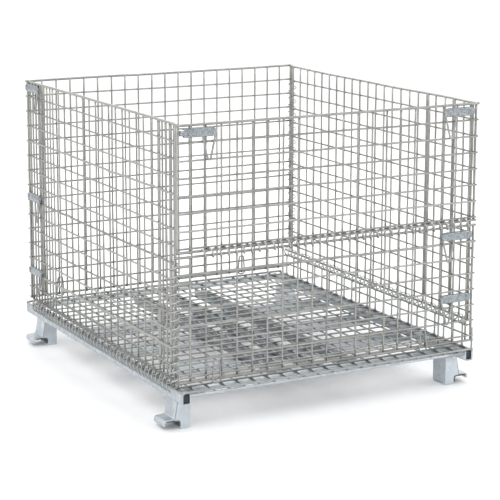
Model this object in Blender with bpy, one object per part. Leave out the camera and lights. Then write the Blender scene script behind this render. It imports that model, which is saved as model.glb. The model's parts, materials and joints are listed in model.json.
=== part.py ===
"""Folding, stackable welded-wire container on four saddle feet.

X runs along the front wall, Y from front to back, Z up.  The origin is on the
ground under the middle of the base.
"""
import math

import bmesh
import bpy
from mathutils import Matrix, Vector

INCH = 0.0254
GAP = 0.0003

# base
MAT_LENGTH_X = 40 * INCH
MAT_LENGTH_Y = 48 * INCH
MAT_TOP = 5.2 * INCH
MAT_THICK = 0.007
RISER_HIGH = 2.7 * INCH
CHANNEL_WIDE = 1.1 * INCH
CHANNEL_DEEP = 1.25 * INCH
SHEET = 0.003
RUNNERS_X = (15.3, 20.0, 24.7)          # inches from the mat's left edge
CROSS_PLATES_Y = (-10.2, 0.0, 10.2)     # inches from the middle
CROSS_PLATE_WIDE = 4 * INCH
EDGE_BAND_WIDE = 3.2 * INCH

# walls: centre planes, thickness of the wire grid, height above the mat
LEFT_X = -0.494
RIGHT_X = 0.512
FRONT_Y = -23 * INCH
BACK_Y = 23 * INCH
GRID_THICK = 0.008
BAR = 0.008
WALL_TOP = MAT_TOP + 30.4 * INCH
WALL_CLEAR = 0.015                      # front and back walls above the mat
PLAY = 0.006                            # wall ends to the neighbouring wall's centre plane

# hinges
COIL_RADIUS = 0.0075
COIL_CLEAR = 0.009                      # grid edge to hinge axis
CORNER_OFFSET = 0.026                   # corner hinge axis outside a side wall's plane
LEFT_HINGE_Z = MAT_TOP + 0.012
RIGHT_HINGE_Z = MAT_TOP + RISER_HIGH + COIL_CLEAR
GATE_HINGE_Y = FRONT_Y - 0.010
GATE_HINGE_Z = MAT_TOP + 15.6 * INCH
GATE_CLEAR = 0.006

# feet
FOOT_DEEP = 2.7 * INCH
FOOT_X = 0.512                          # outline's zero, either side of the middle
FOOT_INSET = 1.5 * INCH                 # foot's front face behind the wall's centre plane

# latches
LATCH_LONG = 4.1 * INCH
LATCH_HIGH = 1.0 * INCH
BAIL_WIRE = 0.005
BAIL_WIDE = 1.9 * INCH
BAIL_DROP = 3.1 * INCH
BAIL_SHIFT = 1.05 * INCH                # bail's middle from the plate's, away from the corner

LOOP_WIDE = 1.1 * INCH
LOOP_HIGH = 2.9 * INCH

WIRE_GREY = (0.50, 0.51, 0.48)
SHEET_GREY = (0.60, 0.64, 0.68)
COIL_GREY = (0.56, 0.58, 0.57)


def clear_scene():
    for ob in list(bpy.data.objects):
        bpy.data.objects.remove(ob, do_unlink=True)


def zinc(name, colour, roughness):
    mat = bpy.data.materials.new(name + "_zinc")
    mat.use_nodes = True
    shader = mat.node_tree.nodes["Principled BSDF"]
    shader.inputs["Base Color"].default_value = (*colour, 1)
    shader.inputs["Metallic"].default_value = 0.85
    shader.inputs["Roughness"].default_value = roughness
    return mat


def empty(name, at=(0, 0, 0), parent=None):
    ob = bpy.data.objects.new(name, None)
    bpy.context.scene.collection.objects.link(ob)
    ob.location = at
    if parent is not None:
        ob.parent = parent
        ob.location = Vector(at) - world_place(parent)
    return ob


def world_place(ob):
    at = Vector(ob.location)
    while ob.parent is not None:
        ob = ob.parent
        at += Vector(ob.location)
    return at


def add(name, bm, at, parent, colour=WIRE_GREY, roughness=0.42):
    """Links bm as one object whose mesh is given about the world point `at`."""
    bmesh.ops.recalc_face_normals(bm, faces=bm.faces)
    mesh = bpy.data.meshes.new(name)
    bm.to_mesh(mesh)
    bm.free()
    ob = bpy.data.objects.new(name, mesh)
    bpy.context.scene.collection.objects.link(ob)
    ob.parent = parent
    ob.location = Vector(at) - world_place(parent)
    mesh.materials.append(zinc(name, colour, roughness))
    return ob


def box(name, low, high, parent, colour=SHEET_GREY):
    bm = bmesh.new()
    bmesh.ops.create_cube(bm, size=1)
    low, high = Vector(low), Vector(high)
    bmesh.ops.scale(bm, vec=high - low, verts=bm.verts)
    return add(name, bm, (low + high) / 2, parent, colour)


def extruded(outline, length, axes="XZY"):
    """A prism: outline points lie in the first two axes and it runs along the third."""
    bm = bmesh.new()
    a, b, c = ("XYZ".index(k) for k in axes)
    verts = []
    for u, v in outline:
        co = [0.0, 0.0, 0.0]
        co[a], co[b] = u, v
        verts.append(bm.verts.new(co))
    face = bm.faces.new(verts)
    made = bmesh.ops.extrude_face_region(bm, geom=[face])
    step = Vector((0, 0, 0))
    step[c] = length
    moved = [g for g in made["geom"] if isinstance(g, bmesh.types.BMVert)]
    bmesh.ops.translate(bm, vec=step, verts=moved)
    return bm


def grid_panel(width, height, across, up, thick=GRID_THICK, bar=BAR):
    """A flat grille in X and Z, centred on its thickness, with its corner at the origin."""
    def lines(length, count):
        pitch = (length - bar) / count
        return [k * pitch + e for k in range(count + 1) for e in (0, bar)]

    xs, zs = lines(width, across), lines(height, up)
    bm = bmesh.new()
    verts = {}
    for side in (-thick / 2, thick / 2):
        for i, x in enumerate(xs):
            for k, z in enumerate(zs):
                verts[side, i, k] = bm.verts.new((x, side, z))

    def solid(i, k):
        inside = 0 <= i < len(xs) - 1 and 0 <= k < len(zs) - 1
        return inside and not (i % 2 and k % 2)

    f, b = -thick / 2, thick / 2
    for i in range(len(xs) - 1):
        for k in range(len(zs) - 1):
            if not solid(i, k):
                continue
            ring = [(i, k), (i + 1, k), (i + 1, k + 1), (i, k + 1)]
            bm.faces.new([verts[(f, *c)] for c in ring])
            bm.faces.new([verts[(b, *c)] for c in reversed(ring)])
            beyond = [(i, k - 1), (i + 1, k), (i, k + 1), (i - 1, k)]
            for n, other in enumerate(beyond):
                if not solid(*other):
                    p, q = ring[n], ring[(n + 1) % 4]
                    bm.faces.new([verts[(f, *q)], verts[(f, *p)], verts[(b, *p)], verts[(b, *q)]])
    return bm


def wall(name, at, width, height, across, up, parent, along_y=False):
    bm = grid_panel(width, height, across, up)
    if along_y:
        bmesh.ops.rotate(bm, matrix=Matrix.Rotation(math.pi / 2, 3, "Z"), verts=bm.verts)
    return add(name, bm, at, parent)


def coil_rod(name, start, end, parent):
    """The envelope of a spiral hinge wire: an eight-sided rod on the hinge axis."""
    start, end = Vector(start), Vector(end)
    bm = bmesh.new()
    bmesh.ops.create_cone(bm, cap_ends=True, segments=8, radius1=COIL_RADIUS,
                          radius2=COIL_RADIUS, depth=(end - start).length)
    turn = Vector((0, 0, 1)).rotation_difference(end - start).to_matrix()
    bmesh.ops.rotate(bm, matrix=Matrix.Rotation(math.pi / 8, 3, "Z"), verts=bm.verts)
    bmesh.ops.rotate(bm, matrix=turn, verts=bm.verts)
    ob = add(name, bm, (start + end) / 2, parent, COIL_GREY, 0.35)
    ob.data.shade_smooth()
    ob.data.set_sharp_from_angle(angle=math.radians(50))
    return ob


def wire_ring(points, wire):
    """A closed loop of square wire through points in the X-Z plane, mitred at each corner."""
    bm = bmesh.new()
    rings = []
    count = len(points)
    for n in range(count):
        here = Vector(points[n])
        into = (here - Vector(points[n - 1])).normalized()
        away = (Vector(points[(n + 1) % count]) - here).normalized()
        mitre = Vector((-(into + away).y, (into + away).x)).normalized()
        reach = wire / 2 / max(0.3, mitre.dot(Vector((-into.y, into.x))))
        ring = []
        for side, depth in ((-1, -1), (1, -1), (1, 1), (-1, 1)):
            p = here + mitre * (side * reach)
            ring.append(bm.verts.new((p.x, depth * wire / 2, p.y)))
        rings.append(ring)
    for n in range(count):
        a, b = rings[n], rings[(n + 1) % count]
        for k in range(4):
            bm.faces.new([a[k], a[(k + 1) % 4], b[(k + 1) % 4], b[k]])
    return bm


def channel_outline(width, depth, sheet):
    """Open-top U section, centred in width, with its open side at the top."""
    w, t = width / 2, sheet
    return [(-w, 0), (-w, -depth), (w, -depth), (w, 0),
            (w - t, 0), (w - t, -depth + t), (-w + t, -depth + t), (-w + t, 0)]


def make_base(root):
    low = MAT_TOP - MAT_THICK
    mat = grid_panel(MAT_LENGTH_X, MAT_LENGTH_Y, 10, 12, MAT_THICK)
    bmesh.ops.rotate(mat, matrix=Matrix.Rotation(-math.pi / 2, 3, "X"), verts=mat.verts)
    add("floor_mat", mat, (-MAT_LENGTH_X / 2, -MAT_LENGTH_Y / 2, MAT_TOP - MAT_THICK / 2), root)

    start = FRONT_Y + 0.008
    wall("mat_riser", (MAT_LENGTH_X / 2 - GRID_THICK / 2, start, MAT_TOP + GAP),
         -2 * start, RISER_HIGH - GAP, 12, 1, root, along_y=True)

    channel = channel_outline(CHANNEL_WIDE, CHANNEL_DEEP, SHEET)
    edge = (MAT_LENGTH_X - CHANNEL_WIDE) / 2
    for name, x in (("side_channel_left", -edge), ("side_channel_right", edge)):
        add(name, extruded(channel, MAT_LENGTH_Y), (x, -MAT_LENGTH_Y / 2, low - GAP),
            root, SHEET_GREY)
    run = MAT_LENGTH_Y - 2 * (EDGE_BAND_WIDE + GAP)
    for n, inches in enumerate(RUNNERS_X, 1):
        x = -MAT_LENGTH_X / 2 + inches * INCH
        add(f"runner_{n}", extruded(channel, run), (x, -run / 2, low - GAP), root, SHEET_GREY)

    inner = MAT_LENGTH_X / 2 - CHANNEL_WIDE - GAP
    lip, t = 0.32 * INCH, SHEET
    band = [(0, 0), (0, -lip), (t, -lip), (t, -t), (EDGE_BAND_WIDE, -t), (EDGE_BAND_WIDE, 0)]
    for name, turn in (("edge_band_front", 1), ("edge_band_back", -1)):
        outline = [(turn * y, z) for y, z in band]
        add(name, extruded(outline, 2 * inner, "YZX"),
            (-inner, -turn * MAT_LENGTH_Y / 2, low - GAP), root, SHEET_GREY)

    deep = 0.35 * INCH
    w = CROSS_PLATE_WIDE / 2
    tray = [(-w, 0), (-w, -deep), (-w + t, -deep), (-w + t, -t),
            (w - t, -t), (w - t, -deep), (w, -deep), (w, 0)]
    for n, inches in enumerate(CROSS_PLATES_Y, 1):
        add(f"cross_plate_{n}", extruded(tray, 2 * inner, "YZX"),
            (-inner, inches * INCH, low - 2 * GAP - CHANNEL_DEEP), root, SHEET_GREY)


def foot_outline():
    """Front view of a foot: x runs inwards from FOOT_X, z down from the mat."""
    top = -(MAT_THICK + CHANNEL_DEEP + 2 * GAP) / INCH
    sole = -MAT_TOP / INCH
    outer = [(0.75, top), (0.30, -3.45), (0.12, -3.80), (-0.15, -3.98), (-0.62, -4.02),
             (-0.86, -4.14), (-0.95, -4.35), (-0.95, -4.78), (-0.82, -4.78), (-0.82, -4.38),
             (-0.75, -4.23), (-0.60, -4.15), (0.82, -4.15), (1.00, -4.22), (1.09, -4.40),
             (1.09, sole + 0.12), (1.20, sole), (2.31, sole), (2.42, sole + 0.12), (2.42, top)]
    pocket = [(0.89, top - 0.12), (0.45, -3.55), (0.45, -4.03), (0.90, -4.03), (1.21, -4.33),
              (1.21, sole + 0.12), (2.30, sole + 0.12), (2.30, top - 0.12)]
    return outer, pocket


def make_feet(root):
    outer, pocket = foot_outline()
    for side, inward in (("left", 1), ("right", -1)):
        zero_x = -inward * FOOT_X
        for end in ("front", "back"):
            start = FRONT_Y + FOOT_INSET if end == "front" else BACK_Y - FOOT_INSET - FOOT_DEEP
            shape = [(inward * x * INCH, z * INCH) for x, z in outer]
            hole = [(inward * x * INCH, z * INCH) for x, z in pocket]
            name = f"foot_{end}_{side}"
            ob = add(name, extruded(shape, FOOT_DEEP), (zero_x, start, MAT_TOP), root, SHEET_GREY)
            # the sheet face is at the front on every foot, the pocket opens to the back
            cutter = add("cut_" + name, extruded(hole, FOOT_DEEP),
                         (zero_x, start + SHEET, MAT_TOP), root)
            cutter.hide_render = True
            cutter.display_type = "WIRE"
            hollow = ob.modifiers.new("hollow", "BOOLEAN")
            hollow.operation = "DIFFERENCE"
            hollow.solver = "EXACT"
            hollow.object = cutter


def strip(name, x, y, low, high, wide, parent):
    """Flat upright strip against the inner face of a side wall."""
    inward = 1 if x < 0 else -1
    near = x + inward * (GRID_THICK / 2 + GAP)
    far = near + inward * 0.003
    box(name, (min(near, far), y - wide / 2, low), (max(near, far), y + wide / 2, high), parent)


def latch(name, centre, outward, inner, parent):
    """A slide plate folded over at the top, with a V bail hanging behind its face.

    centre is on the wall's centre plane, outward is the wall's outer normal and
    inner points along the wall away from the corner that the latch closes.
    """
    pivot = empty(name, centre, parent)
    face = GRID_THICK / 2 + GAP + BAIL_WIRE + 2 * GAP
    t = 0.002
    h = LATCH_HIGH / 2
    section = [(face, -h), (face + t, -h), (face + t, h), (GRID_THICK / 2 + GAP, h),
               (GRID_THICK / 2 + GAP, h - t), (face, h - t)]
    bm = extruded([(-d, z) for d, z in section], LATCH_LONG, "YZX")
    bmesh.ops.translate(bm, vec=(-LATCH_LONG / 2, 0, 0), verts=bm.verts)
    top, w, drop = h - t - GAP - BAIL_WIRE, BAIL_WIDE / 2, -BAIL_DROP
    loop = [(-w, top), (-0.22 * w, drop), (0.22 * w, drop), (w, top)]
    bail = wire_ring(loop, BAIL_WIRE)
    bmesh.ops.translate(bail, vec=(0, -(GRID_THICK / 2 + GAP + BAIL_WIRE / 2), 0),
                        verts=bail.verts)
    turn = Matrix.Rotation(math.atan2(outward[0], -outward[1]), 3, "Z")
    for made in (bm, bail):
        bmesh.ops.rotate(made, matrix=turn, verts=made.verts)
    shift = Vector((*inner, 0)) * BAIL_SHIFT
    bmesh.ops.translate(bail, vec=shift, verts=bail.verts)
    add(name + "_plate", bm, centre, pivot, SHEET_GREY)
    add(name + "_bail", bail, centre, pivot)


def hold_down_loop(name, x, wall_y, outward, parent):
    w, low, r = LOOP_WIDE / 2, 0.008, 0.35 * LOOP_WIDE
    top = LOOP_HIGH
    points = [(-w, top - r), (-w, low + r), (-w + r, low), (w - r, low), (w, low + r),
              (w, top - r), (w - r, top), (-w + r, top)]
    bm = wire_ring(points, BAIL_WIRE)
    y = wall_y + outward * (GRID_THICK / 2 + GAP + BAIL_WIRE / 2)
    add(name, bm, (x, y, MAT_TOP), parent)


def make_left_side(root):
    """Left wall, and the front wall and gate that hang on its front edge."""
    left = empty("left_wall_hinge", (LEFT_X, 0, LEFT_HINGE_Z), root)
    start, end = FRONT_Y + PLAY, BACK_Y - PLAY
    low = LEFT_HINGE_Z + COIL_CLEAR
    wall("left_wall", (LEFT_X, start, low), end - start, WALL_TOP - low, 12, 8, left, True)
    for n, y in enumerate((3.1, 6.1, 42.6), 1):
        strip(f"left_strip_{n}", LEFT_X, FRONT_Y + y * INCH, low + 0.02, WALL_TOP - 0.004,
              0.6 * INCH, left)
    coil_rod("left_base_coil", (LEFT_X, start + 0.002, LEFT_HINGE_Z),
             (LEFT_X, end - 0.002, LEFT_HINGE_Z), root)
    y = BACK_Y - 0.005 - LATCH_LONG / 2
    for name, z in (("top", 29.5), ("middle", 14.8), ("low", 4.6)):
        latch(f"left_latch_{name}", (LEFT_X, y, MAT_TOP + z * INCH), (-1, 0), (0, -1), left)

    corner_x = LEFT_X - CORNER_OFFSET
    front = empty("front_wall_hinge", (corner_x, FRONT_Y, MAT_TOP), left)
    coil_rod("front_corner_coil", (corner_x, FRONT_Y, MAT_TOP + 0.030),
             (corner_x, FRONT_Y, GATE_HINGE_Z - 0.012), left)
    x0, x1 = corner_x + COIL_CLEAR, RIGHT_X + 0.008
    low = MAT_TOP + WALL_CLEAR
    wall("front_wall", (x0, FRONT_Y, low), x1 - x0, GATE_HINGE_Z - GATE_CLEAR - low, 10, 4, front)
    for name, inches in (("left", 4.17), ("right", 32.46)):
        hold_down_loop(f"front_loop_{name}", LEFT_X + inches * INCH, FRONT_Y, -1, front)
    x = RIGHT_X - 0.069
    for name, z in (("middle", 14.2), ("low", 6.4)):
        latch(f"front_latch_{name}", (x, FRONT_Y, MAT_TOP + z * INCH), (0, -1), (-1, 0), front)

    gate = empty("gate_hinge", (0, GATE_HINGE_Y, GATE_HINGE_Z), front)
    coil_rod("gate_coil", (x0 + 0.012, GATE_HINGE_Y, GATE_HINGE_Z),
             (x1 - 0.012, GATE_HINGE_Y, GATE_HINGE_Z), front)
    low = GATE_HINGE_Z + GATE_CLEAR
    wall("drop_gate", (x0, FRONT_Y, low), x1 - x0, WALL_TOP - low, 10, 4, gate)
    latch("gate_latch_left", (LEFT_X + 2.13 * INCH, FRONT_Y, MAT_TOP + 29.4 * INCH), (0, -1),
          (1, 0), gate)
    latch("gate_latch_right", (x, FRONT_Y, MAT_TOP + 29.4 * INCH), (0, -1), (-1, 0), gate)


def make_right_side(root):
    """Right wall on its raised hinge, and the back wall that hangs on its back edge."""
    right = empty("right_wall_hinge", (RIGHT_X, 0, RIGHT_HINGE_Z), root)
    start, end = FRONT_Y + PLAY, BACK_Y - PLAY
    low = RIGHT_HINGE_Z + COIL_CLEAR
    wall("right_wall", (RIGHT_X, start, low), end - start, WALL_TOP - low, 12, 7, right, True)
    for n, y in enumerate((4.3, 10.0), 1):
        strip(f"right_strip_{n}", RIGHT_X, FRONT_Y + y * INCH, low + 0.02, WALL_TOP - 0.004,
              0.6 * INCH, right)
    coil_rod("right_base_coil", (RIGHT_X, start + 0.002, RIGHT_HINGE_Z),
             (RIGHT_X, end - 0.002, RIGHT_HINGE_Z), root)

    corner_x = RIGHT_X + CORNER_OFFSET
    back = empty("back_wall_hinge", (corner_x, BACK_Y, MAT_TOP), right)
    coil_rod("back_corner_coil", (corner_x, BACK_Y, RIGHT_HINGE_Z + 0.012),
             (corner_x, BACK_Y, WALL_TOP - 2.5 * INCH), right)
    x0, x1 = LEFT_X - 0.008, corner_x - COIL_CLEAR
    low = MAT_TOP + WALL_CLEAR
    wall("back_wall", (x0, BACK_Y, low), x1 - x0, WALL_TOP - low, 10, 8, back)
    for name, inches in (("left", 4.17), ("right", 32.46)):
        hold_down_loop(f"back_loop_{name}", LEFT_X + inches * INCH, BACK_Y, 1, back)


clear_scene()
container = empty("container")
make_base(container)
make_feet(container)
make_left_side(container)
make_right_side(container)
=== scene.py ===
"""Looks of the wire mesh container: full wire mesh, spiral hinges, latches, base and feet."""
import json
import math

import bpy
import numpy as np
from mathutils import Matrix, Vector


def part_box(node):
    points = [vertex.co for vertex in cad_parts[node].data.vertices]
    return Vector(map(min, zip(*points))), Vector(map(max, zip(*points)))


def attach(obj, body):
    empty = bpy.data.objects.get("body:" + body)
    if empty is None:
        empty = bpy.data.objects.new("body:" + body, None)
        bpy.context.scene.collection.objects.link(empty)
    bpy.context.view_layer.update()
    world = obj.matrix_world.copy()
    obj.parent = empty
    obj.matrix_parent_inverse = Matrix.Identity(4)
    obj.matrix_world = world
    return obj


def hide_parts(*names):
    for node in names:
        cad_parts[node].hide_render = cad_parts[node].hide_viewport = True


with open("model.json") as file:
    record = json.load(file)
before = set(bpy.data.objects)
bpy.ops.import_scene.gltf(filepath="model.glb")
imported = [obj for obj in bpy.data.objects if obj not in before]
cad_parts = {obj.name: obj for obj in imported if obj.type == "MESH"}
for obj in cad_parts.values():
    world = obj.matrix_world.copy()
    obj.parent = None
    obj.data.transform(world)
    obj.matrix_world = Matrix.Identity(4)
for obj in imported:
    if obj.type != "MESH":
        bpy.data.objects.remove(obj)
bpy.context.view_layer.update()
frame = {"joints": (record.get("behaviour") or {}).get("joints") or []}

INCH = 0.0254
rng = np.random.default_rng(11)

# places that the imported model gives, in metres
hinge = {j["name"]: np.array(j["pos_m"], float) for j in frame["joints"] if "pos_m" in j}
LEFT_X = hinge["left_wall_fold"][0]
RIGHT_X = hinge["right_wall_fold"][0]
FRONT_Y = hinge["front_wall_swing"][1]
BACK_Y = hinge["back_wall_swing"][1]
MAT_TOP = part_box("floor_mat")[1].z
WALL_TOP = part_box("left_wall")[1].z
LEFT_HINGE_Z = hinge["left_wall_fold"][2]
RIGHT_HINGE_Z = hinge["right_wall_fold"][2]
FRONT_CORNER_X = hinge["front_wall_swing"][0]
BACK_CORNER_X = hinge["back_wall_swing"][0]
GATE_Y, GATE_Z = hinge["gate_drop"][1:]

WIRE = 0.0029            # radius of the mesh wire
ROD = 0.0038             # radius of rims and hinge rods
EDGE_ROD = 0.0031        # radius of the upright rods inside the front corner spiral
TOP_ROD = 0.0042         # radius of the left wall's rim
SEAT = 0.86              # how far a welded wire's middle sits from the panel's plane, in radii
ROW_PITCH = 2 * INCH
SHEET = 0.0026           # thickness of the base's sheet steel
UP = np.array([0.0, 0.0, 1.0])
X = np.array([1.0, 0.0, 0.0])
Y = np.array([0.0, 1.0, 0.0])


# ---------------------------------------------------------------- mesh tools
class Solid:
    """Gathers closed shells, each with its own tone, and makes one mesh of them."""

    def __init__(self):
        self.co, self.faces, self.smooth, self.tone, self.count = [], [], [], [], 0

    def put(self, co, faces, smooth):
        co = np.asarray(co, float).reshape(-1, 3)
        self.co.append(co)
        self.faces += [[v + self.count for v in f] for f in faces]
        self.smooth += list(smooth)
        self.tone.append(np.full(len(co), rng.random()))
        self.count += len(co)

    def build(self, name, body, mat, nodes=()):
        mesh = bpy.data.meshes.new(name)
        mesh.from_pydata(np.concatenate(self.co).tolist(), [], self.faces)
        mesh.polygons.foreach_set("use_smooth", self.smooth)
        tone = mesh.attributes.new("tone", "FLOAT", "POINT")
        tone.data.foreach_set("value", np.concatenate(self.tone).astype(np.float32))
        mesh.materials.append(mat)
        mesh.update()
        ob = bpy.data.objects.new(name, mesh)
        bpy.context.scene.collection.objects.link(ob)
        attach(ob, body)
        if nodes:
            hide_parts(*nodes)
        return ob


def tube(solid, path, radius, ref, sides=8, closed=False):
    """A round wire along path. ref is a direction, or one for each point, that is never along it."""
    path = np.asarray(path, float)
    n = len(path)
    if closed:
        t = np.roll(path, -1, 0) - np.roll(path, 1, 0)
    else:
        t = np.gradient(path, axis=0)
    t /= np.linalg.norm(t, axis=1)[:, None]
    ref = np.broadcast_to(np.asarray(ref, float), path.shape)
    a = ref - (ref * t).sum(1)[:, None] * t
    a /= np.linalg.norm(a, axis=1)[:, None]
    b = np.cross(t, a)
    angle = np.arange(sides) * 2 * math.pi / sides
    around = np.cos(angle)[None, :, None] * a[:, None] + np.sin(angle)[None, :, None] * b[:, None]
    co = (path[:, None] + radius * around).reshape(-1, 3)
    quads = []
    for i in range(n if closed else n - 1):
        j = (i + 1) % n
        for k in range(sides):
            m = (k + 1) % sides
            quads.append((i * sides + k, i * sides + m, j * sides + m, j * sides + k))
    smooth = [True] * len(quads)
    if not closed:
        crown = 0.35 * radius                          # slightly domed cut ends
        ends = [path[0] - t[0] * crown, path[-1] + t[-1] * crown]
        co = np.concatenate([co, ends])
        first, last = n * sides, n * sides + 1
        for k in range(sides):
            m = (k + 1) % sides
            quads.append((first, m, k))
            quads.append((last, (n - 1) * sides + k, (n - 1) * sides + m))
        smooth += [False] * (2 * sides)
    solid.put(co, quads, smooth)


def wobble(length, at, size):
    """A smooth unevenness along a wire, the same each run."""
    out = np.zeros_like(at)
    for wave in (2.3, 5.1, 9.7):
        out += rng.normal() * np.sin(at / length * wave * math.pi + rng.uniform(0, 7)) / wave ** 0.6
    return out * size


def fillet(points, radius, steps=5):
    """Rounds the inner corners of a polyline in 2-D or 3-D."""
    points = [np.asarray(p, float) for p in points]
    radii = radius if isinstance(radius, (list, tuple)) else [radius] * len(points)
    out = [points[0]]
    for before, here, after, r in zip(points, points[1:], points[2:], radii[1:]):
        into, away = before - here, after - here
        li, la = np.linalg.norm(into), np.linalg.norm(away)
        into, away = into / li, away / la
        half = math.acos(max(-1.0, min(1.0, float(into @ away)))) / 2
        reach = min(r / max(math.tan(half), 1e-3), 0.48 * li, 0.48 * la)
        a, b = here + into * reach, here + away * reach
        for k in range(steps + 1):
            u = k / steps
            out.append((1 - u) ** 2 * a + 2 * u * (1 - u) * here + u * u * b)
    out.append(points[-1])
    return np.array(out)


def ring_fillet(points, radius, steps=5):
    """Rounds every corner of a closed polygon."""
    points = [np.asarray(p, float) for p in points]
    start = (points[0] + points[-1]) / 2
    radii = radius if isinstance(radius, (list, tuple)) else [radius] * len(points)
    made = fillet([start, *points, start], [0, *radii, 0], steps)
    return made[:-1]


def sheet(solid, line, thick, place, stations, scale=None):
    """A bent sheet: line is its section's middle in (u, v), carried along w through stations.

    place(u, v, w) gives a world point, and scale shrinks v at each station.
    """
    line = np.asarray(line, float)
    t = np.gradient(line, axis=0)
    t /= np.linalg.norm(t, axis=1)[:, None]
    normal = np.stack([-t[:, 1], t[:, 0]], 1)
    n = len(line)
    rows = []
    for i, w in enumerate(stations):
        mid = line * np.array([1.0, 1.0 if scale is None else scale[i]])
        for side in (0.5, -0.5):
            uv = mid + normal * thick * side
            rows.append(np.array([place(u, v, w) for u, v in uv]))
    co = np.concatenate(rows)
    quads, smooth = [], []

    def add(f, s):
        quads.append(f)
        smooth.append(s)

    last = len(stations) - 1
    for i in range(last):
        a, b = 2 * i * n, (2 * i + 1) * n
        c, d = 2 * (i + 1) * n, (2 * (i + 1) + 1) * n
        for k in range(n - 1):
            add((a + k, a + k + 1, c + k + 1, c + k), True)
            add((b + k + 1, b + k, d + k, d + k + 1), True)
        add((a, c, d, b), False)
        add((a + n - 1, b + n - 1, d + n - 1, c + n - 1), False)
    for k in range(n - 1):
        add((k + 1, k, n + k, n + k + 1), False)
        e = 2 * last * n
        add((e + k, e + k + 1, e + n + k + 1, e + n + k), False)
    solid.put(co, quads, smooth)


# ---------------------------------------------------------------- materials
class Paint:
    """Small helper round one material's node tree."""

    def __init__(self, name, metallic):
        self.mat = bpy.data.materials.new(name)
        self.mat.use_nodes = True
        self.tree = self.mat.node_tree
        self.shader = self.tree.nodes["Principled BSDF"]
        self.shader.inputs["Metallic"].default_value = metallic
        self.space = self.node("ShaderNodeTexCoord").outputs["Object"]

    def node(self, kind, **inputs):
        made = self.tree.nodes.new(kind)
        for key, value in inputs.items():
            made.inputs[key.replace("_", " ")].default_value = value
        return made

    def link(self, a, b):
        self.tree.links.new(a, b)

    def noise(self, scale, detail=4.0, rough=0.55, stretch=None):
        made = self.node("ShaderNodeTexNoise", Scale=scale, Detail=detail, Roughness=rough)
        source = self.space
        if stretch is not None:
            mapping = self.node("ShaderNodeMapping", Scale=stretch)
            self.link(source, mapping.inputs["Vector"])
            source = mapping.outputs["Vector"]
        self.link(source, made.inputs["Vector"])
        return made.outputs["Fac"]

    def ramp(self, source, *stops):
        made = self.node("ShaderNodeValToRGB")
        bar = made.color_ramp.elements
        while len(bar) < len(stops):
            bar.new(0.5)
        for element, (place, colour) in zip(bar, stops):
            element.position = place
            element.color = (*colour, 1) if len(colour) == 3 else (*colour,) * 3 + (1,)
        self.link(source, made.inputs["Fac"])
        return made.outputs["Color"]

    def mix(self, factor, a, b, blend="MIX"):
        made = self.node("ShaderNodeMix")
        made.data_type, made.blend_type = "RGBA", blend
        slots = {s.identifier: s for s in made.inputs}
        for socket, value in ((slots["Factor_Float"], factor), (slots["A_Color"], a), (slots["B_Color"], b)):
            if isinstance(value, bpy.types.NodeSocket):
                self.link(value, socket)
            elif isinstance(value, tuple):
                socket.default_value = (*value, 1)
            else:
                socket.default_value = value
        return {s.identifier: s for s in made.outputs}["Result_Color"]

    def bump(self, source, strength, distance):
        made = self.node("ShaderNodeBump", Strength=strength, Distance=distance)
        self.link(source, made.inputs["Height"])
        self.link(made.outputs["Normal"], self.shader.inputs["Normal"])

    def spread(self, source, low, high):
        made = self.node("ShaderNodeMapRange", To_Min=low, To_Max=high)
        made.inputs["From Min"].default_value = 0.3
        made.inputs["From Max"].default_value = 0.7
        self.link(source, made.inputs["Value"])
        return made.outputs["Result"]


def zinc_wire(name, dark, light, bloom, rough):
    """Zinc-plated drawn wire: tone from wire to wire, cloudy patches and dull white bloom."""
    p = Paint(name, 0.88)
    tone = p.node("ShaderNodeAttribute")
    tone.attribute_name = "tone"
    wire = p.ramp(tone.outputs["Fac"], (0.0, dark), (1.0, light))
    cloud = p.noise(26, 5)
    colour = p.mix(p.ramp(cloud, (0.38, (0.0,)), (0.66, (0.75,))), wire, light)
    fleck = p.noise(420, 3, 0.7)
    colour = p.mix(p.ramp(fleck, (0.50, (0.0,)), (0.74, (0.6,))), colour,
                   tuple(0.45 * c for c in dark))
    dull = p.ramp(p.noise(70, 6, 0.7), (0.60, (0.0,)), (0.72, (0.85,)))
    colour = p.mix(dull, colour, bloom)
    p.link(colour, p.shader.inputs["Base Color"])
    p.link(p.spread(p.noise(95, 3), rough - 0.08, rough + 0.16), p.shader.inputs["Roughness"])
    p.bump(p.noise(760, 3), 0.35, 0.0004)
    return p.mat


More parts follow.
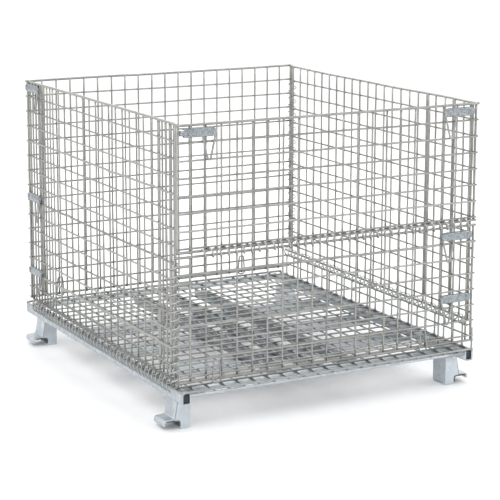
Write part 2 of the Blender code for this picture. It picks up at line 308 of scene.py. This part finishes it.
def zinc_sheet(name, dark, light, rough, spangle=85.0):
    """Galvanised sheet: crystals of slightly different grey, roll streaks, bloom and worn flecks."""
    p = Paint(name, 0.80)
    cells = p.node("ShaderNodeTexVoronoi", Scale=spangle)
    wander = p.node("ShaderNodeTexNoise", Scale=40.0, Detail=3.0)
    p.link(p.space, wander.inputs["Vector"])
    shifted = p.node("ShaderNodeVectorMath")
    shifted.operation = "MULTIPLY_ADD"
    shifted.inputs[1].default_value = (0.02, 0.02, 0.02)
    p.link(wander.outputs["Color"], shifted.inputs[0])
    p.link(p.space, shifted.inputs[2])
    p.link(shifted.outputs["Vector"], cells.inputs["Vector"])
    split = p.node("ShaderNodeSeparateColor")
    p.link(cells.outputs["Color"], split.inputs["Color"])
    colour = p.ramp(split.outputs["Red"], (0.0, dark), (1.0, light))
    streak = p.noise(9, 5, 0.6, (14.0, 1.2, 3.0))
    colour = p.mix(p.ramp(streak, (0.42, (0.0,)), (0.70, (0.55,))), colour, light)
    bloom = p.ramp(p.noise(34, 7, 0.7), (0.58, (0.0,)), (0.74, (0.55,)))
    colour = p.mix(bloom, colour, tuple(min(1.0, 1.35 * c) for c in light))
    fleck = p.ramp(p.noise(300, 4, 0.75), (0.58, (0.0,)), (0.74, (0.7,)))
    colour = p.mix(fleck, colour, tuple(0.4 * c for c in dark))
    p.link(colour, p.shader.inputs["Base Color"])
    p.link(p.spread(split.outputs["Green"], rough - 0.06, rough + 0.10), p.shader.inputs["Roughness"])
    p.bump(p.noise(240, 4), 0.25, 0.0005)
    return p.mat


wire_zinc = zinc_wire("wire_zinc", (0.25, 0.248, 0.230), (0.42, 0.418, 0.395), (0.58, 0.58, 0.565), 0.38)
rod_zinc = zinc_wire("rod_zinc", (0.26, 0.265, 0.26), (0.44, 0.45, 0.445), (0.60, 0.61, 0.60), 0.34)
coil_zinc = zinc_wire("coil_zinc", (0.28, 0.285, 0.28), (0.48, 0.49, 0.485), (0.64, 0.65, 0.64), 0.30)
mat_zinc = zinc_wire("mat_zinc", (0.25, 0.256, 0.250), (0.43, 0.438, 0.43), (0.58, 0.59, 0.585), 0.36)
sheet_zinc = zinc_sheet("sheet_zinc", (0.37, 0.405, 0.43), (0.50, 0.54, 0.57), 0.40)
foot_zinc = zinc_sheet("foot_zinc", (0.50, 0.545, 0.58), (0.58, 0.625, 0.66), 0.46, 60.0)
dark_zinc = zinc_sheet("dark_zinc", (0.24, 0.26, 0.275), (0.38, 0.405, 0.425), 0.42, 120.0)
# near-black sheet: painted shade inside the side channels' open front ends
shade_zinc = zinc_sheet("shade_zinc", (0.030, 0.034, 0.038), (0.075, 0.082, 0.088), 0.55, 150.0)
# dark sheet: painted shade in the recess under each foot's lip
dark_fold = zinc_sheet("dark_fold", (0.07, 0.078, 0.085), (0.14, 0.152, 0.162), 0.50, 150.0)
latch_zinc = zinc_sheet("latch_zinc", (0.17, 0.185, 0.195), (0.38, 0.41, 0.43), 0.30, 260.0)


# ---------------------------------------------------------------- wire panels
def evenly(low, high, cells):
    return [low + (high - low) * k / cells for k in range(cells + 1)]


SWAY, PUSH = 0.0007, 0.0004      # unevenness of a wire along the panel and in depth


def panel(name, body, place, normal, columns, rows):
    """A welded wire panel that stands for the CAD node with its body's name.

    place(s, z, d) gives a world point from the distance along the panel, the
    height and the depth outwards.  Each column is (s, low, high, radius, depth)
    and each row (z, start, end, radius, depth, bend), where bend(s) is an extra
    (z, depth) for kinks and jogs, or None.
    """
    solid = Solid()
    for s, low, high, radius, depth in columns:
        z = np.linspace(low, high, max(3, int((high - low) / 0.032)))
        span = high - low
        sway, push = wobble(span, z - low, SWAY), wobble(span, z - low, PUSH)
        path = [place(s + a, h, depth + b) for h, a, b in zip(z, sway, push)]
        tube(solid, path, radius, normal)
    for z, start, end, radius, depth, bend in rows:
        s = np.linspace(start, end, max(3, int(abs(end - start) / 0.025)))
        span = abs(end - start)
        sway, push = wobble(span, s - start, SWAY), wobble(span, s - start, PUSH)
        path = []
        for a, dz, dd in zip(s, sway, push):
            more = bend(a) if bend else (0.0, 0.0)
            path.append(place(a, z + dz + more[0], depth + dd + more[1]))
        tube(solid, path, radius, normal)
    solid.build(name, body, wire_zinc, [body])


def smooth_step(x):
    x = min(1.0, max(0.0, x))
    return x * x * (3 - 2 * x)


def coil(name, body, node, start, end, out, phase, pitch, radius=0.0138, wire=0.0021, tall=1.0):
    """A spiral hinge wire round the line from start to end; phase is its angle from out at start.

    tall stretches the turns at right angles to out.
    """
    start, end, out = (np.asarray(v, float) for v in (start, end, out))
    along = end - start
    length = np.linalg.norm(along)
    along /= length
    side = np.cross(along, out) * tall
    steps = int(length / pitch * 14)
    s = np.linspace(0, length, steps + 1)
    angle = phase + 2 * math.pi * s / pitch
    loose = radius * (1 + 0.03 * np.sin(s / length * 23.0 + 1.0))
    radial = np.cos(angle)[:, None] * out + np.sin(angle)[:, None] * side
    path = start + s[:, None] * along + loose[:, None] * radial
    solid = Solid()
    tube(solid, path, wire, radial, sides=7)
    solid.build(name, body, coil_zinc, [node])


D_OUT, D_IN = WIRE * SEAT, -WIRE * SEAT      # depths of the rows and the columns
LAST_CELL = 0.055                            # over this length a row steps out to its corner
TOP_ROW = WALL_TOP - ROD


def corner_jog(reach, depth):
    """Rows step by depth to the corner hinge rod over their first `reach` metres."""
    return lambda s: (0.0, depth * (1 - smooth_step(s / reach)))


def kinked(reach, depth, kinks):
    """A corner jog and small bends in a stiffener rod, each (place, height)."""
    def bend(s):
        dz = sum(h * math.exp(-((s - at) / 0.016) ** 2) for at, h in kinks)
        return dz, depth * (1 - smooth_step(s / reach))
    return bend


# left wall, s runs from the front to the back
span = BACK_Y - FRONT_Y
PLAY = 0.006


def left_place(s, z, d):
    return (LEFT_X - d, FRONT_Y + s, z)


side_s = evenly(PLAY, span - PLAY, 23)
edge_depth = LEFT_X - FRONT_CORNER_X - 0.0075       # the edge rod, inside the corner spiral
jog = edge_depth - 0.0057 - D_OUT                   # rows end on the edge rod's inner side
left_low = LEFT_HINGE_Z
half_cell = (side_s[1] - side_s[0]) / 2
columns = [(side_s[0] - 0.0008, left_low + 0.012, WALL_TOP - 0.002, EDGE_ROD, edge_depth)]
columns += [(s, left_low, WALL_TOP - 0.002, WIRE, D_IN) for s in side_s[1:-1]]
# extra upright wires, midway in the second and third cells and in the last four
columns += [(s - half_cell, left_low, WALL_TOP - 0.003, WIRE, D_IN) for s in side_s[2:4] + side_s[-4:]]
columns += [(side_s[-1], left_low, WALL_TOP - 0.002, ROD, D_IN)]
rows = [(TOP_ROW, PLAY - 0.004, span - PLAY + 0.004, TOP_ROD, D_OUT, corner_jog(LAST_CELL, jog))]
for k in range(1, 15):
    z = TOP_ROW - k * ROW_PITCH
    if k in (4, 8, 13):                                 # stiffener rods
        kinks = [(side_s[3] + 0.02, 0.004), (side_s[9] + 0.025, -0.004), (side_s[16] + 0.02, 0.0035)]
        rows.append((z, PLAY - 0.003, span - PLAY + 0.003, 0.0037, D_OUT + 0.0006,
                     kinked(LAST_CELL, jog, kinks)))
    else:
        rows.append((z, PLAY - 0.003, span - PLAY + 0.003, WIRE, D_OUT, corner_jog(LAST_CELL, jog)))
rows.append((left_low, PLAY + 0.004, span - PLAY - 0.001, ROD, 0.0, None))
panel("left_mesh", "left_wall", left_place, X, columns, rows)


# right wall
def right_place(s, z, d):
    return (RIGHT_X + d, FRONT_Y + s, z)


right_low = RIGHT_HINGE_Z + 0.004
back_jog = BACK_CORNER_X - RIGHT_X - 0.009


def right_bend(s):
    return 0.0, back_jog * (1 - smooth_step((span - s) / LAST_CELL))


columns = [(side_s[0] + 0.0045, right_low, WALL_TOP - 0.002, ROD, D_IN)]
columns += [(s, right_low, WALL_TOP - 0.002, WIRE, D_IN) for s in side_s[1:-1]]
columns += [(side_s[-1], right_low + 0.012, WALL_TOP - 0.002, ROD, back_jog + D_IN)]
rows = [(TOP_ROW, PLAY + 0.001, span - PLAY + 0.004, ROD, D_OUT, right_bend)]
rows += [(TOP_ROW - k * ROW_PITCH, PLAY + 0.001, span - PLAY + 0.003, WIRE, D_OUT, right_bend)
         for k in range(1, 14)]
rows.append((right_low, PLAY + 0.002, span - PLAY - 0.004, ROD, 0.0, None))
panel("right_mesh", "right_wall", right_place, X, columns, rows)


# front wall and gate, s runs from the hinged corner to the right
def front_place(s, z, d):
    return (FRONT_CORNER_X + s, FRONT_Y - d, z)


front_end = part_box("front_wall")[1].x - FRONT_CORNER_X
front_s = [0.0005 + ROW_PITCH * k for k in range(21)] + [front_end - ROD]
low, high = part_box("front_wall")[0].z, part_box("front_wall")[1].z
columns = [(front_s[0], low + 0.018, high - 0.004, EDGE_ROD, 0.0)]
columns += [(front_s[1], low, high, 0.0036, D_IN)]
columns += [(s, low, high, WIRE, D_IN) for s in front_s[2:-1]]
columns += [(front_s[-1], low, high, ROD, D_IN)]
hinge_bend = corner_jog(0.030, -0.0036)
rows = [(high - 0.0015, front_s[0], front_end + 0.002, ROD, D_OUT - 0.001, hinge_bend)]
for inches, radius in ((13.25, 0.0039), (11.2, WIRE), (9.25, WIRE), (7.25, WIRE), (5.25, WIRE),
                       (3.3, WIRE), (1.35, WIRE)):
    rows.append((MAT_TOP + inches * INCH, front_s[0] - 0.002, front_end + 0.002, radius, D_OUT,
                 hinge_bend))
rows.append((low + ROD, front_s[0] + 0.004, front_end + 0.001, ROD, D_OUT, hinge_bend))
for inches in (14.3, 12.3):
    rows.append((MAT_TOP + inches * INCH, front_s[0] - 0.002, front_s[1] + 0.004, 0.0038, D_OUT,
                 hinge_bend))
panel("front_mesh", "front_wall", front_place, Y, columns, rows)

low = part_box("drop_gate")[0].z
columns = [(front_s[0] + 0.009, low, WALL_TOP - 0.003, EDGE_ROD, -0.0007)]
columns += [(s, low - 0.006, WALL_TOP - 0.003, WIRE, D_IN) for s in front_s[1:-1]]
columns += [(front_s[-1], low, WALL_TOP - 0.003, ROD, D_IN)]
rows = [(TOP_ROW, front_s[0] + 0.006, front_end + 0.003, ROD, D_OUT, hinge_bend)]
rows += [(TOP_ROW - k * ROW_PITCH, front_s[0] + 0.007, front_end + 0.002, WIRE, D_OUT, hinge_bend)
         for k in range(1, 8)]
rows.append((low + 0.0015, front_s[0] + 0.008, front_end + 0.002, ROD, D_OUT - 0.001, hinge_bend))
panel("gate_mesh", "drop_gate", front_place, Y, columns, rows)


# back wall, s runs from the free edge on the left to the hinged corner
def back_place(s, z, d):
    return (s, BACK_Y + d, z)


start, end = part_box("back_wall")[0].x, BACK_CORNER_X
back_s = evenly(start + ROD, end - 0.004, 20)
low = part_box("back_wall")[0].z
columns = [(back_s[0], low, WALL_TOP - 0.003, ROD, D_IN)]
columns += [(s, low, WALL_TOP - 0.003, WIRE, D_IN) for s in back_s[1:-1]]
columns += [(back_s[-1], low + 0.07, WALL_TOP - 0.004, ROD, D_IN)]
rows = [(TOP_ROW, start - 0.002, end - 0.002, ROD, D_OUT, None)]
rows += [(TOP_ROW - k * ROW_PITCH, start - 0.002, end - 0.002, WIRE, D_OUT, None)
         for k in range(1, 15)]
rows.append((low + ROD, start, end - 0.008, ROD, D_OUT, None))
panel("back_mesh", "back_wall", back_place, Y, columns, rows)


# ---------------------------------------------------------------- floor mat and riser
mat_low, mat_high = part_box("floor_mat")
mat_s = evenly(mat_low.x + WIRE, mat_high.x - WIRE, 20)
mat_y = evenly(mat_low.y + WIRE, mat_high.y - WIRE, 24)
solid = Solid()
under = -2 * WIRE * SEAT                     # the front-to-back wires lie under the cross wires
for n, x in enumerate(mat_s):
    r = ROD if n in (0, 20) else WIRE
    y = np.linspace(mat_low.y + 0.001, mat_high.y - 0.001, 60)
    path = np.stack([x + wobble(1.2, y, 0.0006), y,
                     MAT_TOP - WIRE + under + wobble(1.2, y, 0.0003)], 1)
    tube(solid, path, r, UP)
for n, y in enumerate(mat_y):
    r = ROD if n in (0, 24) else WIRE
    x = np.linspace(mat_low.x + 0.001, mat_high.x - 0.001, 50)
    path = np.stack([x, y + wobble(1.0, x, 0.0006), MAT_TOP - r + wobble(1.0, x, 0.0003)], 1)
    tube(solid, path, r, UP)
solid.build("floor_mesh", "base", mat_zinc, ["floor_mat"])

riser_low, riser_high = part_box("mat_riser")
riser_x = (riser_low.x + riser_high.x) / 2
solid = Solid()
for y in mat_y:
    if y > riser_high.y:
        continue
    bend = fillet([(riser_x - 0.02, MAT_TOP - WIRE), (riser_x, MAT_TOP - WIRE),
                   (riser_x, riser_high.z - ROD)], 0.009, 6)
    path = [(x, y, z) for x, z in bend]
    tube(solid, path, WIRE, Y)
for z, r in ((MAT_TOP + 0.033, WIRE), (riser_high.z - ROD, ROD)):
    y = np.linspace(riser_low.y + 0.001, riser_high.y, 50)
    path = np.stack([riser_x + WIRE * 1.6 + wobble(1.0, y, 0.0004), y,
                     z + wobble(1.0, y, 0.0004)], 1)
    tube(solid, path, r, X)
solid.build("riser_mesh", "base", mat_zinc, ["mat_riser"])

# ---------------------------------------------------------------- spiral hinges
side_pitch = half_cell
first = FRONT_Y + side_s[1]                  # the first inner column, which the spiral passes clear


def coil_start(at, start, pitch, angle):
    """Phase at start that puts the wire at the given angle where it passes `at`."""
    return angle - 2 * math.pi * (at - start) / pitch


lo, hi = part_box("left_base_coil")
coil_x, coil_z, coil_y = LEFT_X - 0.007, MAT_TOP - 0.0015, lo.y + 0.028
coil("left_base_spiral", "base", "left_base_coil", (coil_x, coil_y, coil_z),
     (coil_x, hi.y - 0.028, coil_z), -X, coil_start(first, coil_y, side_pitch, -math.pi / 4),
     side_pitch, radius=0.0160, wire=0.0021, tall=1.36)
lo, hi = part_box("right_base_coil")
coil("right_base_spiral", "base", "right_base_coil", (RIGHT_X, lo.y, RIGHT_HINGE_Z),
     (RIGHT_X, hi.y, RIGHT_HINGE_Z), X, coil_start(first, lo.y, side_pitch, 0.0),
     side_pitch, radius=0.0128)
lo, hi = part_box("front_corner_coil")
corner = np.array([FRONT_CORNER_X, FRONT_Y])
out = np.array([-1.0, -1.0, 0.0]) / math.sqrt(2)
row_z = TOP_ROW - 10 * ROW_PITCH
coil("front_corner_spiral", "left_wall", "front_corner_coil", (*corner, lo.z), (*corner, hi.z),
     out, coil_start(row_z, lo.z, INCH, 0.0), INCH)
lo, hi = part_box("back_corner_coil")
corner = np.array([BACK_CORNER_X, BACK_Y])
coil("back_corner_spiral", "right_wall", "back_corner_coil", (*corner, lo.z), (*corner, hi.z),
     -out, coil_start(row_z, lo.z, INCH, 0.0), INCH)
lo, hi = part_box("gate_coil")
gate_pitch = (front_s[1] - front_s[0]) / 2
gate_from = FRONT_CORNER_X + 3.3 * INCH
coil("gate_spiral", "front_wall", "gate_coil", (gate_from, GATE_Y + 0.004, GATE_Z),
     (hi.x - 0.012, GATE_Y + 0.004, GATE_Z), Y,
     coil_start(FRONT_CORNER_X + front_s[2], gate_from, gate_pitch, 0.0), gate_pitch,
     radius=0.0128, wire=0.0024)


# ---------------------------------------------------------------- close wire pairs on the side walls
def strip(node, body, x, inward):
    """Two upright wires at the edges of the strip's place, welded inside the wall's rows."""
    lo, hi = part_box(node)
    solid = Solid()
    z = np.linspace(lo.z, hi.z, 24)
    for y in (lo.y + WIRE, hi.y - WIRE):
        sway = wobble(1.0, z, 0.0006)
        path = [(x + inward * WIRE * SEAT, y + a, h) for a, h in zip(sway, z)]
        tube(solid, path, WIRE, X)
    solid.build(node + "_pair", body, wire_zinc, [node])


for n in (1, 2, 3):
    strip(f"left_strip_{n}", "left_wall", LEFT_X, 1)
for n in (1, 2):
    strip(f"right_strip_{n}", "right_wall", RIGHT_X, -1)


# ---------------------------------------------------------------- latches
def latch(name, outward, inner):
    """Slide plate curled round two row wires, a hook at the corner end and a hanging V bail."""
    outward, inner = np.array([*outward, 0.0]), np.array([*inner, 0.0])
    lo, hi = (np.array(v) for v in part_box(name + "_plate"))
    centre = (lo + hi) / 2
    half_long = abs((hi - lo) @ inner) / 2
    half_high = (hi[2] - lo[2]) / 2
    face = max(abs((lo - centre) @ outward), abs((hi - centre) @ outward))
    front = centre + outward * face                     # on the plate's outer face

    def place(u, v, w):
        return front + outward * u + UP * v + inner * w

    h, d = half_high, 0.011
    line = fillet([(-d, h - 0.004), (-d + 0.001, h), (-0.001, h), (0.0, 0.3 * h), (0.0014, 0.0),
                   (0.0, -0.3 * h), (-0.001, -h), (-d + 0.001, -h), (-d, -h + 0.004)],
                  [0, 0.003, 0.005, 0.01, 0.01, 0.01, 0.005, 0.003, 0], 4)
    nose = 0.016                                        # length of the rounded inner end
    ends = np.concatenate([[-half_long, -half_long + 0.004],
                           np.linspace(-half_long + 0.02, half_long - 0.02, 5),
                           half_long - nose * (1 - np.sin(np.linspace(0.2, 1.45, 7)))])
    scale = []
    for w in ends:
        past = max(0.0, (w - (half_long - nose)) / 0.0165)
        scale.append(math.sqrt(max(0.06, 1 - past * past)))
    scale[0] = 0.93
    solid = Solid()
    sheet(solid, line, 0.0018, place, ends, scale)
    # the hook reaches round the corner from the plate's outer end
    hook = fillet([(0.001, half_long - 0.012), (-0.0005, half_long), (-0.0005, half_long + 0.007),
                   (-0.010, half_long + 0.011), (-0.018, half_long + 0.009)], 0.007, 5)
    sheet(solid, hook, 0.0026, lambda u, v, w: front + outward * u - inner * v + UP * w,
          np.linspace(-0.0075, 0.0075, 4))
    solid.build(name + "_slide", name, latch_zinc, [name + "_plate"])
    # the bail hangs from the plate's inner end
    blo, bhi = (np.array(v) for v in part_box(name + "_bail"))
    mid = (blo + bhi) / 2
    wide = abs((bhi - blo) @ inner) / 2 - 0.003
    back = mid + outward * 0.002
    top = bhi[2] - 0.003
    tip = blo[2] + 0.002

    def spot(a, z, d=0.0):
        return back + inner * a + UP * (z - back[2]) + outward * d

    points = [spot(-0.55 * wide, top + 0.001), spot(-wide, top), spot(-0.20 * wide, tip + 0.004, 0.003),
              spot(-0.10 * wide, tip, 0.003), spot(0.10 * wide, tip, 0.003),
              spot(0.20 * wide, tip + 0.004, 0.003), spot(wide, top), spot(0.55 * wide, top + 0.001)]
    path = fillet(points, [0, 0.005, 0.006, 0.004, 0.004, 0.006, 0.005, 0], 5)
    wire = Solid()
    tube(wire, path, 0.0030, outward, sides=8)
    wire.build(name + "_vee", name, rod_zinc, [name + "_bail"])


latch("gate_latch_left", (0, -1), (1, 0))
for name in ("gate_latch_right", "front_latch_middle", "front_latch_low"):
    latch(name, (0, -1), (-1, 0))
for name in ("left_latch_top", "left_latch_middle", "left_latch_low"):
    latch(name, (-1, 0), (0, -1))


# ---------------------------------------------------------------- hold-down loops
def loop(node, body, outward):
    lo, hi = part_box(node)
    x, w = (lo.x + hi.x) / 2, (hi.x - lo.x) / 2 - 0.002
    y = (lo.y + hi.y) / 2
    z0, z1 = lo.z + 0.002, hi.z - 0.002
    ring = ring_fillet([(x - w, z0), (x + w, z0), (x + 0.55 * w, z1), (x - 0.55 * w, z1)],
                       [0.012, 0.012, 0.006, 0.006], 6)
    path = [(a, y + outward * 0.0015 * math.sin((b - z0) / (z1 - z0) * 3), b) for a, b in ring]
    solid = Solid()
    tube(solid, path, 0.0025, Y, closed=True)
    solid.build(node + "_wire", body, rod_zinc, [node])


for side in ("left", "right"):
    loop("front_loop_" + side, "front_wall", -1)
    loop("back_loop_" + side, "back_wall", 1)


# ---------------------------------------------------------------- base
def channel(node, mat):
    """Open-top U channel, front to back, with rounded bends."""
    lo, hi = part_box(node)
    x, w, deep = (lo.x + hi.x) / 2, (hi.x - lo.x) / 2 - SHEET / 2, hi.z - lo.z - SHEET / 2
    line = fillet([(-w, 0), (-w, -deep), (w, -deep), (w, 0)], 0.004, 5)
    solid = Solid()
    sheet(solid, line, SHEET, lambda u, v, y: (x + u, y, hi.z - 0.002 + v * 0.985),
          np.linspace(lo.y, hi.y, 9))
    solid.build(node + "_steel", "base", mat, [node])


def channel_end(node):
    """A near-black sheet a few millimetres inside a side channel's front end: painted shade for the dark
    inside of the open end.
    """
    lo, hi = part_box(node)
    x, w = (lo.x + hi.x) / 2, (hi.x - lo.x) / 2 - SHEET - 0.0004
    solid = Solid()
    top, low = hi.z - 0.004, lo.z + SHEET + 0.0006
    line = fillet([(0.006, top), (0.0, top), (0.0, low), (0.006, low)], 0.002, 3)
    sheet(solid, line, 0.0016, lambda u, v, k: (x + k, lo.y + 0.005 + u, v), np.linspace(-w, w, 5))
    # its near-black colour is painted shade; it replaces no CAD part
    solid.build(node + "_web", "base", shade_zinc, [])


for node in ("side_channel_left", "side_channel_right"):
    channel(node, sheet_zinc)
    channel_end(node)
for n in (1, 2, 3):
    channel(f"runner_{n}", dark_zinc)

for node, turn in (("edge_band_front", 1), ("edge_band_back", -1)):
    lo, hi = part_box(node)
    lip = hi.z - lo.z
    edge = lo.y if turn == 1 else hi.y
    wide = hi.y - lo.y
    line = fillet([(turn * SHEET * 1.6, -lip), (turn * SHEET / 2, -lip), (turn * SHEET / 2, -SHEET),
                   (turn * (wide - SHEET), -SHEET), (turn * (wide - SHEET), -0.4 * lip)], 0.004, 5)
    solid = Solid()
    sheet(solid, line, SHEET, lambda u, v, x: (x, edge + u, hi.z - 0.0015 + v),
          np.linspace(lo.x, hi.x, 9))
    solid.build(node + "_steel", "base", sheet_zinc, [node])

for n in (1, 2, 3):
    node = f"cross_plate_{n}"
    lo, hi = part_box(node)
    y, w, deep = (lo.y + hi.y) / 2, (hi.y - lo.y) / 2 - SHEET / 2, hi.z - lo.z - SHEET / 2
    line = fillet([(-w, -deep), (-w, -SHEET / 2), (-0.4 * w, -SHEET / 2), (-0.3 * w, -0.004),
                   (0.3 * w, -0.004), (0.4 * w, -SHEET / 2), (w, -SHEET / 2), (w, -deep)], 0.004, 4)
    solid = Solid()
    sheet(solid, line, SHEET, lambda u, v, x: (x, y + u, hi.z + v), np.linspace(lo.x, hi.x, 9))
    solid.build(node + "_steel", "base", sheet_zinc, [node])


# ---------------------------------------------------------------- feet
def foot(name, zero_x, inward, y0, y1):
    """Pressed foot: a box leg with rounded front edges and a saddle lip that curls outwards.

    Outlines are in inches, with u inwards from zero_x and v down from the mat.
    """
    top = (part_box(name)[1].z - MAT_TOP) / INCH
    sole = -MAT_TOP / INCH
    points = [(0.75, top), (0.50, -3.20), (0.38, -3.75), (0.32, -4.00), (0.32, -4.15), (0.82, -4.15),
              (1.02, -4.20), (1.09, -4.40), (1.09, sole), (2.42, sole), (2.42, top)]
    ring = ring_fillet([(a * INCH, b * INCH) for a, b in points],
                       [0.001, 0.02, 0.01, 0.002, 0.001, 0.004, 0.003, 0.004, 0.004, 0.005, 0.001], 4)
    ahead = np.roll(ring, -1, 0) - np.roll(ring, 1, 0)
    ahead /= np.linalg.norm(ahead, axis=1)[:, None]
    area = np.sum(ring[:, 0] * np.roll(ring[:, 1], -1) - np.roll(ring[:, 0], -1) * ring[:, 1])
    inner = np.stack([-ahead[:, 1], ahead[:, 0]], 1) * (1 if area > 0 else -1)
    n, r, thick = len(ring), 0.0019, 0.0028             # points, edge radius, wall thickness

    def at(uv, y):
        return [(zero_x + inward * u, y, MAT_TOP + v) for u, v in uv]

    # rows run from the front face's rim round its edge, back along the outside and in again
    turns = [k * math.pi / 8 for k in range(5)]
    rows = [at(ring + inner * r * (1 - math.sin(a)), y0 + r * (1 - math.cos(a))) for a in turns]
    rows += [at(ring, y1), at(ring + inner * thick * 0.6, y1), at(ring + inner * thick * 0.6, y0 + thick)]
    co = [v for row in rows for v in row]
    quads, smooth = [], []
    flip = (area > 0) == (inward > 0)
    for i in range(len(rows) - 1):
        for k in range(n):
            m = (k + 1) % n
            quads.append((i * n + k, i * n + m, (i + 1) * n + m, (i + 1) * n + k))
            smooth.append(i < 5)
    quads.append(tuple(range(n - 1, -1, -1)))
    quads.append(tuple((len(rows) - 1) * n + k for k in range(n)))
    smooth += [False, False]
    solid = Solid()
    solid.put(co, quads if not flip else [f[::-1] for f in quads], smooth)
    lip = fillet([(0.43, -3.70), (0.41, -3.84), (0.35, -3.99), (-0.10, -4.03), (-0.68, -4.05),
                  (-0.86, -4.14), (-0.89, -4.34), (-0.89, -4.66)], 0.005 / INCH, 5) * INCH
    sheet(solid, lip, 0.0034, lambda u, v, y: (zero_x + inward * u, y, MAT_TOP + v),
          np.linspace(y0 + 0.002, y1, 5))
    solid.build(name + "_steel", "base", foot_zinc, [name])
    # a dark sheet round the recess under the lip: painted shade for the recess
    arch = fillet([(-0.60, -4.17), (0.80, -4.19), (0.98, -4.24), (1.05, -4.42), (1.05, -4.86)],
                  0.10, 4) * INCH
    solid = Solid()
    sheet(solid, arch, 0.0030, lambda u, v, y: (zero_x + inward * u, y, MAT_TOP + v),
          np.linspace(y0 - 0.0008, y1, 5))
    solid.build(name + "_fold", "base", dark_fold, [])


for side, inward in (("left", 1), ("right", -1)):
    for end in ("front", "back"):
        name = f"foot_{end}_{side}"
        lo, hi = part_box(name)
        near = lo.x if inward > 0 else hi.x               # the lip's outer end
        foot(name, near + inward * 0.95 * INCH, inward, lo.y, hi.y)


# ---------------------------------------------------------------- stage, lights and camera
def pale_floor():
    mesh = bpy.data.meshes.new("stage_floor")
    edge = 60.0
    sides = 64
    angles = np.linspace(0, 2 * math.pi, sides, endpoint=False)
    ring = [(edge * math.cos(a), edge * math.sin(a), 0.0) for a in angles]
    mesh.from_pydata(ring, [], [tuple(range(sides))])
    floor = bpy.data.objects.new("stage_floor", mesh)
    bpy.context.scene.collection.objects.link(floor)
    p = Paint("stage_paint", 0.0)
    p.link(p.ramp(p.noise(0.8, 2), (0.3, (0.95, 0.95, 0.95)), (0.7, (0.97, 0.97, 0.97))),
           p.shader.inputs["Base Color"])
    p.shader.inputs["Roughness"].default_value = 0.9
    mesh.materials.append(p.mat)


def area_light(name, at, aim, size, power, tint=(1, 1, 1)):
    data = bpy.data.lights.new(name, "AREA")
    data.shape, data.size, data.energy, data.color = "DISK", size, power, tint
    ob = bpy.data.objects.new(name, data)
    bpy.context.scene.collection.objects.link(ob)
    ob.location = at
    ob.rotation_euler = (Vector(aim) - Vector(at)).to_track_quat("-Z", "Y").to_euler()


pale_floor()
world = bpy.data.worlds.new("studio")
world.use_nodes = True
sky = world.node_tree.nodes["Background"]
sky.inputs["Color"].default_value = (0.985, 0.992, 1.0, 1)
sky.inputs["Strength"].default_value = 1.16
bpy.context.scene.world = world
bpy.context.scene.view_settings.view_transform = "Standard"
area_light("key", (-3.2, -3.4, 4.2), (0, 0, 0.4), 3.4, 80, (1.0, 0.99, 0.97))
area_light("fill", (4.2, -2.2, 2.6), (0, 0, 0.4), 3.0, 45, (0.96, 0.98, 1.0))
area_light("back", (1.5, 4.0, 3.6), (0, 0, 0.4), 3.4, 50)

camera = bpy.data.objects.new("camera", bpy.data.cameras.new("camera"))
bpy.context.scene.collection.objects.link(camera)
camera.location = (-2.624, -4.886, 1.605)
camera.rotation_euler = (math.pi / 2 - 0.183, 0, -0.485)
camera.data.sensor_width = 36
camera.data.lens = 98.1 * 1.27
camera.data.shift_x, camera.data.shift_y = 0.05, -0.12
camera.data.clip_start, camera.data.clip_end = 0.1, 200
bpy.context.scene.camera = camera
